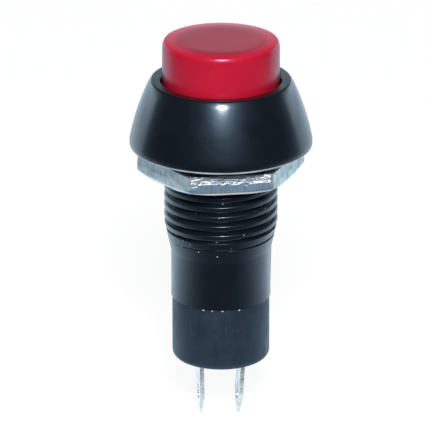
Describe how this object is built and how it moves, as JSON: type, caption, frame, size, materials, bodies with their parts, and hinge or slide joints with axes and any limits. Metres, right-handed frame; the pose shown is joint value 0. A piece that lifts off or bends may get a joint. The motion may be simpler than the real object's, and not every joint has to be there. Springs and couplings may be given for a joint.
{
  "type": "panel mount push button switch",
  "caption": "Round momentary push button switch with a sprung cap, a conical bezel, a threaded barrel with a hex panel nut, and solder terminals.",
  "frame": {"origin": "on the switch's axis, at the underside of the bezel, which seats on the front of the panel", "axes": "+Z out of the panel towards the cap; +X from the left terminal to the right one"},
  "size_m": [0.0184, 0.0184, 0.04],
  "materials": {
    "black_gloss_plastic": "glossy black moulding",
    "black_matte_plastic": "semi-matt black moulding",
    "red_plastic": "glossy red moulding",
    "nylon": "natural nylon",
    "zinc_plate": "bright zinc plate on a punched edge",
    "spring_steel": "bright drawn wire and strip",
    "contact_brass": "bright brass",
    "contact_silver": "silver plate on brass",
    "tinned_brass": "bright tin plate on brass"
  },
  "bodies": {
    "switch_body": {"housing": "black_gloss_plastic", "terminal_base": "black_matte_plastic", "terminal_left": "tinned_brass", "terminal_right": "tinned_brass", "fixed_contact_left": "contact_silver", "fixed_contact_right": "contact_silver", "return_spring": "spring_steel"},
    "button": {"button_cap": "red_plastic", "plunger": "nylon", "stop_washer": "spring_steel", "contact_spring": "spring_steel", "retaining_clip": "spring_steel"},
    "bridge": {"contact_disc": "contact_brass"},
    "nut": {"panel_nut": "zinc_plate"}
  },
  "joints": [
    {"name": "button_press", "type": "slide", "parent": "switch_body", "child": "button", "axis": [0, 0, -1], "range_m": [0, 0.0026], "stiffness_N_per_m": 500, "springref_m": -0.002, "deforming": ["return_spring"]},
    {"name": "bridge_float", "type": "slide", "parent": "button", "child": "bridge", "axis": [0, 0, 1], "range_m": [0, 0.0008], "stiffness_N_per_m": 400, "springref_m": -0.001, "deforming": ["contact_spring"]},
    {"name": "nut_travel", "type": "slide", "parent": "switch_body", "child": "nut", "axis": [0, 0, -1], "range_m": [-0.0007, 0.0065]}
  ]
}
